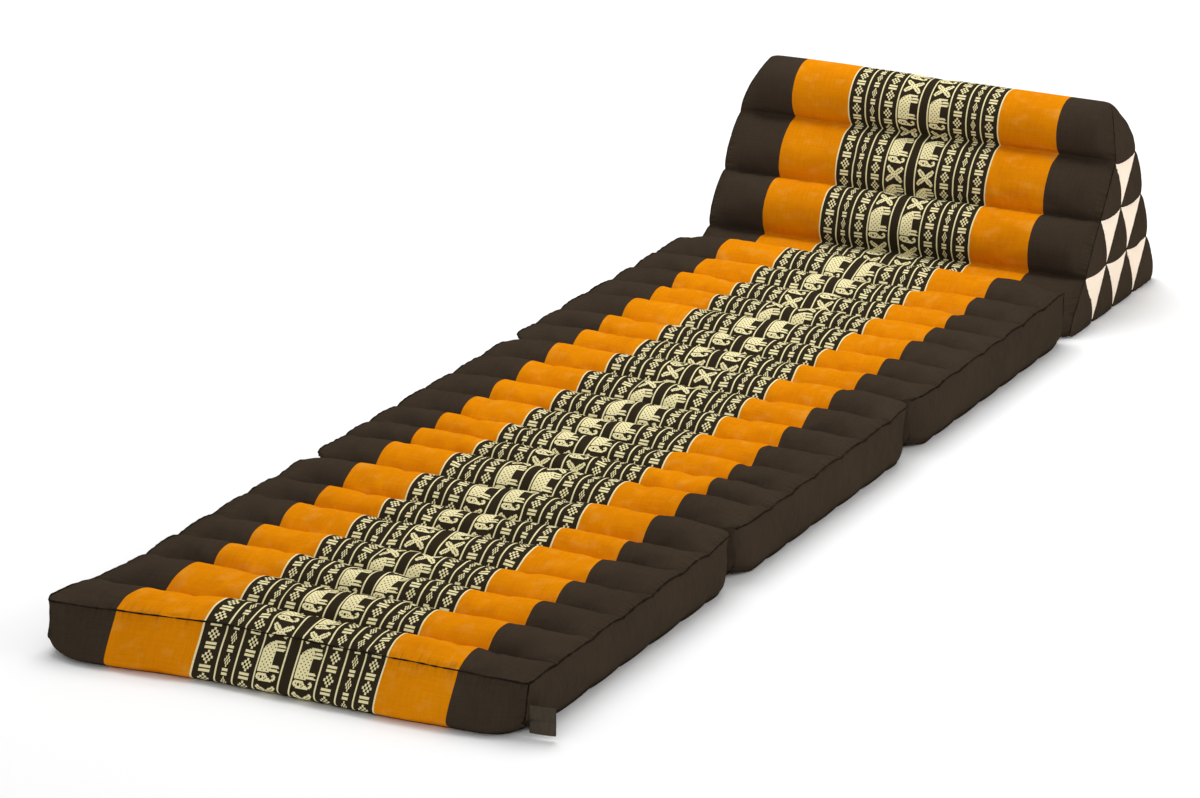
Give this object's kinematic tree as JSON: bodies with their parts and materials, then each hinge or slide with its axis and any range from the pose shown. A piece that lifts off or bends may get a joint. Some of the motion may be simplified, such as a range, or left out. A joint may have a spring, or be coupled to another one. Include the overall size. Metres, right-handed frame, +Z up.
{
  "type": "thai triangle cushion with fold-out mat",
  "caption": "Filled triangular wedge backrest sewn to a fold-out mat of boxed panels with cross channels, lying open on the floor.",
  "frame": {"origin": "bottom centre of the whole object's box, on the floor", "axes": "+X across the mat, +Y along it from the foot to the wedge, +Z up"},
  "size_m": [0.5694, 1.7374, 0.264],
  "materials": {
    "mat_cover": "plain and figured woven cotton in brown, orange and cream on black",
    "wedge_cover": "plain and figured woven cotton, with patchwork ends",
    "brown_cotton": "matt plain woven cotton",
    "label_cloth": "dense matt woven tape"
  },
  "bodies": {
    "root": {"mat_panel_foot": "mat_cover", "mat_panel_middle": "mat_cover", "mat_panel_head": "mat_cover", "wedge_cushion": "wedge_cover", "hinge_strip": "brown_cotton", "side_label": "label_cloth"}
  },
  "joints": []
}
